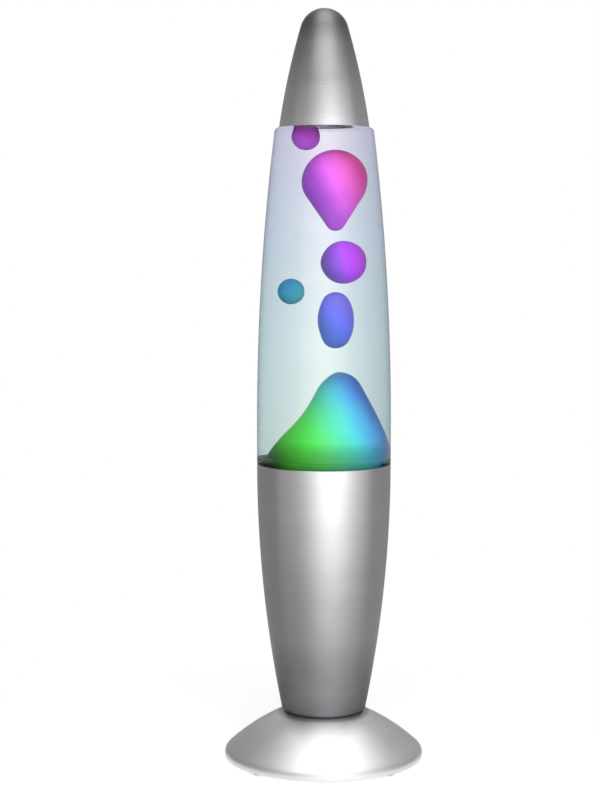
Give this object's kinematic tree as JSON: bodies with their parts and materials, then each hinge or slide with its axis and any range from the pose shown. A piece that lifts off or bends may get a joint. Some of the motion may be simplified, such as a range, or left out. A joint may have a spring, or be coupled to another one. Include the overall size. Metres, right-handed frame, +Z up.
{
  "type": "liquid motion lamp",
  "caption": "Bullet-shaped table lamp: a clear bottle of liquid with drifting wax stands in a metal cup on a domed foot, under a metal cap.",
  "frame": {"origin": "on the table under the middle of the foot, at the underside of the rubber feet", "axes": "+Z up through the bottle, +X to the right and +Y to the back, where the cord inlet is"},
  "size_m": [0.112, 0.112, 0.42],
  "materials": {
    "spun_aluminium": "satin",
    "cap_aluminium": "satin",
    "zinc_steel": "satin",
    "black_rubber": "matte",
    "black_nylon": "matte",
    "holder_plastic": "satin",
    "white_ceramic": "gloss",
    "holder_brass": "satin",
    "solder": "satin",
    "black_glass": "gloss",
    "bulb_tin": "satin",
    "bulb_glass": "gloss",
    "stem_glass": "gloss",
    "nickel_wire": "satin",
    "tungsten": "satin",
    "bottle_glass": "gloss",
    "motion_liquid": "gloss",
    "spring_steel": "satin",
    "crown_tin": "satin",
    "liner_plastic": "matte",
    "wax_green_blue": "satin",
    "wax_blue": "satin",
    "wax_violet": "satin",
    "wax_pink": "satin",
    "wax_purple": "satin",
    "wax_teal": "satin"
  },
  "bodies": {
    "base": {"foot_shell": "spun_aluminium", "bottom_plate": "zinc_steel", "rubber_foot_1": "black_rubber", "rubber_foot_2": "black_rubber", "rubber_foot_3": "black_rubber", "rubber_foot_4": "black_rubber", "cover_post_1": "zinc_steel", "cover_post_2": "zinc_steel", "cover_post_3": "zinc_steel", "cover_screws": "zinc_steel", "cord_bushing": "black_nylon", "base_cup": "spun_aluminium", "nipple": "zinc_steel", "nipple_nut": "zinc_steel", "lock_washer": "zinc_steel", "holder_cap": "holder_plastic", "holder_sleeve": "holder_plastic", "holder_insert": "white_ceramic", "holder_screw_shell": "holder_brass", "holder_centre_contact": "holder_brass", "holder_terminal_left": "holder_brass", "holder_terminal_right": "holder_brass", "terminal_screws": "zinc_steel"},
    "bulb_contact": {"bulb_tip_contact": "solder", "bulb_insulator": "black_glass"},
    "bulb": {"bulb_screw_cap": "bulb_tin", "bulb_envelope": "bulb_glass", "bulb_stem": "stem_glass", "bulb_lead_wires": "nickel_wire", "bulb_filament": "tungsten"},
    "bottle": {"bottle": "bottle_glass", "liquid": "motion_liquid", "wax_mound": "wax_green_blue", "heating_coil": "spring_steel", "crown_closure": "crown_tin", "closure_liner": "liner_plastic"},
    "cap": {"cap_shell": "cap_aluminium"},
    "wax_drop": {"wax_drop": "wax_pink"},
    "wax_ball": {"wax_ball": "wax_violet"},
    "wax_oval": {"wax_oval": "wax_blue"},
    "wax_bead_high": {"wax_bead_high": "wax_purple"},
    "wax_bead_low": {"wax_bead_low": "wax_teal"}
  },
  "joints": [
    {"name": "bottle_lift", "type": "slide", "parent": "base", "child": "bottle", "axis": [0, 0, 1], "range_m": [0, 0.06]},
    {"name": "cap_lift", "type": "slide", "parent": "bottle", "child": "cap", "axis": [0, 0, 1], "range_m": [0, 0.05]},
    {"name": "bulb_rise", "type": "slide", "parent": "base", "child": "bulb_contact", "axis": [0, 0, 1], "range_m": [0, 0.0141]},
    {"name": "bulb_turn", "type": "hinge", "parent": "bulb_contact", "child": "bulb", "pos_m": [0, 0, 0.06], "axis": [0, 0, 1], "range_deg": [0, 1800]},
    {"name": "drop_drift", "type": "slide", "parent": "bottle", "child": "wax_drop", "axis": [0, 0, 1], "range_m": [-0.016, 0.002], "deforming": ["liquid"]},
    {"name": "ball_drift", "type": "slide", "parent": "bottle", "child": "wax_ball", "axis": [0, 0, 1], "range_m": [-0.0136, 0.0017], "deforming": ["liquid"]},
    {"name": "oval_drift", "type": "slide", "parent": "bottle", "child": "wax_oval", "axis": [0, 0, 1], "range_m": [-0.01088, 0.00136], "deforming": ["liquid"]},
    {"name": "high_bead_drift", "type": "slide", "parent": "bottle", "child": "wax_bead_high", "axis": [0, 0, 1], "range_m": [-0.016, 0.002], "deforming": ["liquid"]},
    {"name": "low_bead_drift", "type": "slide", "parent": "bottle", "child": "wax_bead_low", "axis": [0, 0, 1], "range_m": [-0.055, 0.025], "deforming": ["liquid"]}
  ],
  "couplings": [
    {"joint": "bulb_turn", "follows": "bulb_rise", "rad_per_m": 2226.5},
    {"joint": "ball_drift", "follows": "drop_drift", "ratio": 0.85},
    {"joint": "oval_drift", "follows": "drop_drift", "ratio": 0.68},
    {"joint": "high_bead_drift", "follows": "drop_drift", "ratio": 1}
  ]
}
